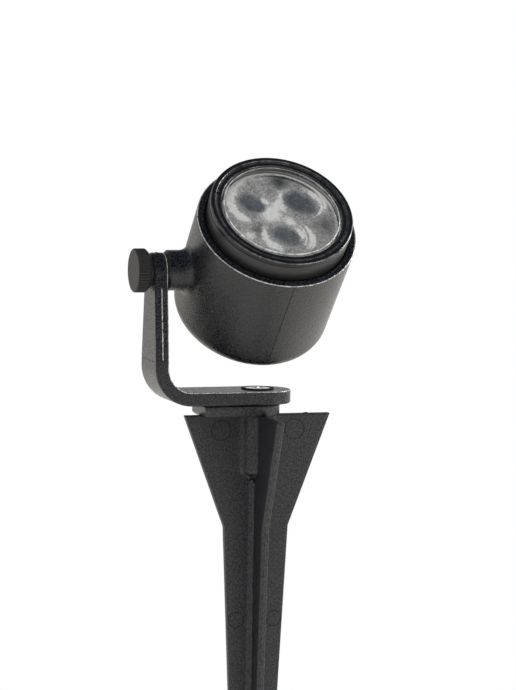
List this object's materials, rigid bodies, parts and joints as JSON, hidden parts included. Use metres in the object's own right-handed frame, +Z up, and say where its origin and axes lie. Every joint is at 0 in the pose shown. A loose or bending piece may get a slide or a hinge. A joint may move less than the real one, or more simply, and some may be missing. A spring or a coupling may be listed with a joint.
{
  "type": "garden spike spotlight",
  "caption": "Outdoor LED spotlight for a garden bed: a round lamp head, tilted and locked by a thumb knob, on an L-shaped bracket that swivels on a finned ground spike.",
  "frame": {"origin": "on the spike's axis at the top of its fins, which is where the ground comes to", "axes": "+Z up along the spike's axis, -Y the front, towards which the head tilts at rest, -X the side of the bracket's arm and the knob"},
  "size_m": [0.08, 0.0771, 0.291],
  "materials": {
    "black_nylon": "fine-grained moulded black",
    "powder_coat": "die-cast, with a fine-textured charcoal powder coat",
    "anodised_can": "satin grey-black anodised",
    "anodised_bezel": "satin black anodised, bright edges",
    "knob_finish": "matte grey-black anodised, knurled rim",
    "blackened_steel": "blackened",
    "bright_steel": "plated, bright",
    "bare_aluminium": "as turned",
    "brass": "as turned",
    "fibre": "dark fibre",
    "nylon_washer": "dark nylon",
    "rubber": "matte",
    "clear_silicone": "milky silicone, matte",
    "glass": "clear, toughened",
    "optic": "frosted acrylic, rippled lenses",
    "led": "yellow phosphor under a clear dome",
    "white_board": "white solder mask",
    "green_board": "green solder mask",
    "thermal_pad": "grey silicone",
    "dark_components": "moulded cases",
    "terminal": "green moulding",
    "tinned_lead": "tinned",
    "gland_nylon": "black nylon"
  },
  "bodies": {
    "ground_spike": {"spike": "black_nylon", "spike_insert": "brass", "foot_washer": "fibre", "cup_washer": "blackened_steel", "foot_screw": "bright_steel"},
    "bracket": {"bracket": "powder_coat"},
    "head": {"head_shell": "powder_coat", "trunnion_insert": "brass", "tilt_washer": "nylon_washer", "module_can": "anodised_can", "module_o_ring": "rubber", "module_cover": "bare_aluminium", "module_screws": "bright_steel", "bezel_ring": "anodised_bezel", "glass_gasket": "clear_silicone", "front_glass": "glass", "retaining_ring": "anodised_bezel", "triple_optic": "optic", "led_emitters": "led", "led_board": "white_board", "thermal_pad": "thermal_pad", "board_screws": "bright_steel", "driver_board": "green_board", "driver_components": "dark_components", "terminal_block": "terminal", "board_leads": "tinned_lead", "gland_body": "gland_nylon", "gland_washer": "rubber", "gland_locknut": "gland_nylon", "gland_seal": "rubber", "gland_cap": "gland_nylon"},
    "clamp_washer": {"knob_washer": "nylon_washer"},
    "knob": {"knob": "knob_finish", "knob_stud": "bright_steel"}
  },
  "joints": [
    {"name": "bracket_swivel", "type": "hinge", "parent": "ground_spike", "child": "bracket", "pos_m": [0, 0, 0.0095], "axis": [0, 0, 1], "range_deg": [-180, 180]},
    {"name": "head_tilt", "type": "hinge", "parent": "bracket", "child": "head", "pos_m": [-0.0369, 0, 0.0542], "axis": [1, 0, 0], "range_deg": [-178.7, 91.3]},
    {"name": "washer_slide", "type": "slide", "parent": "bracket", "child": "clamp_washer", "axis": [-1, 0, 0], "range_m": [0, 0.0016]},
    {"name": "knob_turn", "type": "hinge", "parent": "clamp_washer", "child": "knob", "pos_m": [-0.0435, 0, 0.0542], "axis": [-1, 0, 0], "range_deg": [0, 720]}
  ],
  "couplings": [
    {"joint": "washer_slide", "follows": "knob_turn", "m_per_rad": 0.00012732}
  ]
}
